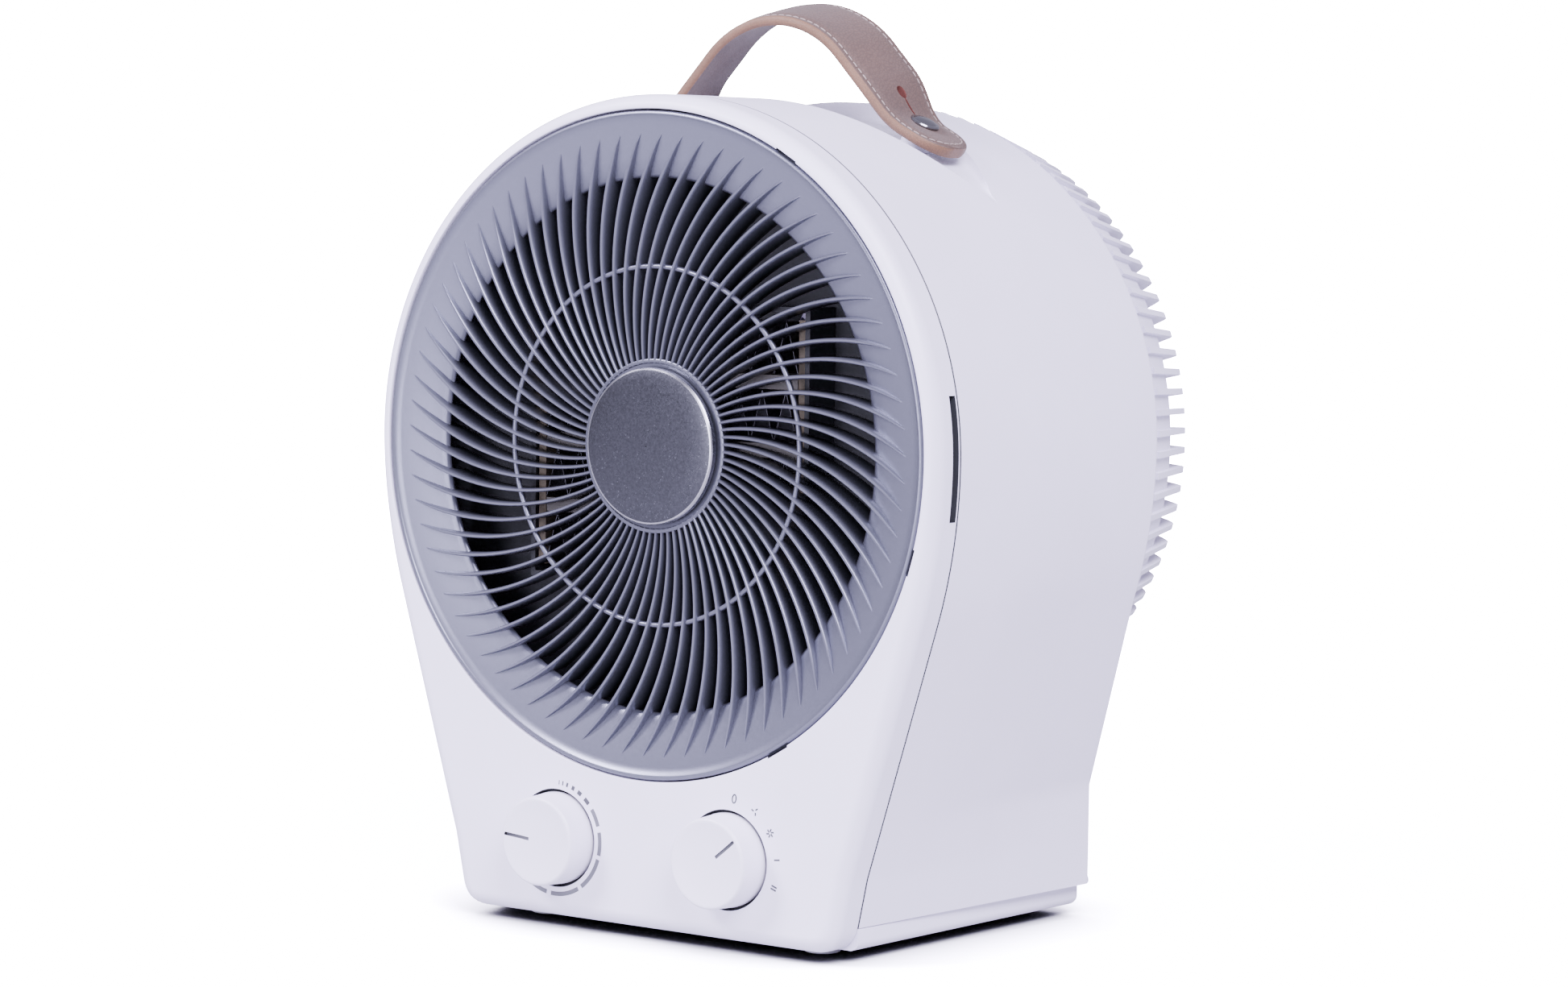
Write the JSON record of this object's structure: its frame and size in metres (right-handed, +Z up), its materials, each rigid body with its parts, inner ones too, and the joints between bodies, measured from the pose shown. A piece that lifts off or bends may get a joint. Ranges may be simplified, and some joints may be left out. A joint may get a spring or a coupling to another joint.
{
  "type": "ceramic space heater",
  "caption": "Round-topped fan heater on a tapered foot, with a swirled grille, two dials and a leather strap handle.",
  "frame": {"origin": "under the middle of the bounding box, on the surface that the feet stand on", "axes": "+Z up; +Y from the front grille to the rear grille; +X to the right as seen by someone facing the front"},
  "size_m": [0.2488, 0.1928, 0.3345],
  "materials": {
    "white_shell": "fine satin moulded texture",
    "grey_grille": "satin moulded",
    "badge": "sparkling metallic lacquer",
    "leather": "soft grain with pale stitching",
    "stud": "polished with a dimpled top",
    "black_plastic": "matt",
    "steel": "zinc plated",
    "aluminium": "bright folded strip",
    "ceramic": "matt fired",
    "insulator": "matt mica board",
    "brass": "turned",
    "rubber": "matt"
  },
  "bodies": {
    "housing": {"base_plate": "white_shell", "base_screw_1": "steel", "base_screw_2": "steel", "base_screw_3": "steel", "base_screw_4": "steel", "body_shell": "white_shell", "ceramic_bar_1": "ceramic", "ceramic_bar_2": "ceramic", "ceramic_bar_3": "ceramic", "cord_gland": "black_plastic", "core_holder_left": "insulator", "core_holder_right": "insulator", "fan_shroud": "black_plastic", "foot_front_left": "rubber", "foot_front_right": "rubber", "foot_rear_left": "rubber", "foot_rear_right": "rubber", "front_cover": "white_shell", "front_grille": "grey_grille", "grille_badge": "badge", "handle_strap": "leather", "heater_frame": "black_plastic", "motor_bracket": "black_plastic", "motor_housing": "steel", "motor_screw_1": "steel", "motor_screw_2": "steel", "motor_screw_3": "steel", "radiator_1": "aluminium", "radiator_2": "aluminium", "radiator_3": "aluminium", "radiator_4": "aluminium", "rear_grille": "white_shell", "rear_screw_1": "steel", "rear_screw_2": "steel", "rear_screw_3": "steel", "selector_switch_body": "black_plastic", "strap_nut_left": "steel", "strap_nut_right": "steel", "strap_stud_left": "stud", "strap_stud_right": "stud", "terminal_block": "white_shell", "thermal_cutout": "steel", "thermostat_body": "steel", "tilt_spring": "steel", "tilt_switch_body": "black_plastic"},
    "rotor": {"motor_shaft": "steel", "fan_impeller": "grey_grille", "fan_nut": "brass"},
    "thermostat_control": {"thermostat_knob": "white_shell", "thermostat_shaft": "steel"},
    "selector_control": {"selector_knob": "white_shell", "selector_shaft": "steel"},
    "tilt_button": {"tilt_plunger": "white_shell"}
  },
  "joints": [
    {"name": "fan_spin", "type": "hinge", "parent": "housing", "child": "rotor", "pos_m": [0, -0.0308, 0.1766], "axis": [0, 1, 0], "continuous": true},
    {"name": "thermostat_turn", "type": "hinge", "parent": "housing", "child": "thermostat_control", "pos_m": [-0.0383, -0.0851, 0.0332], "axis": [0, 1, 0], "range_deg": [0, 270]},
    {"name": "selector_turn", "type": "hinge", "parent": "housing", "child": "selector_control", "pos_m": [0.0383, -0.0851, 0.0332], "axis": [0, 1, 0], "range_deg": [-51, 50]},
    {"name": "tilt_press", "type": "slide", "parent": "housing", "child": "tilt_button", "axis": [0, 0, -1], "range_m": [0, 0.006], "stiffness_N_per_m": 20, "springref_m": 0.006, "deforming": ["tilt_spring"]}
  ]
}
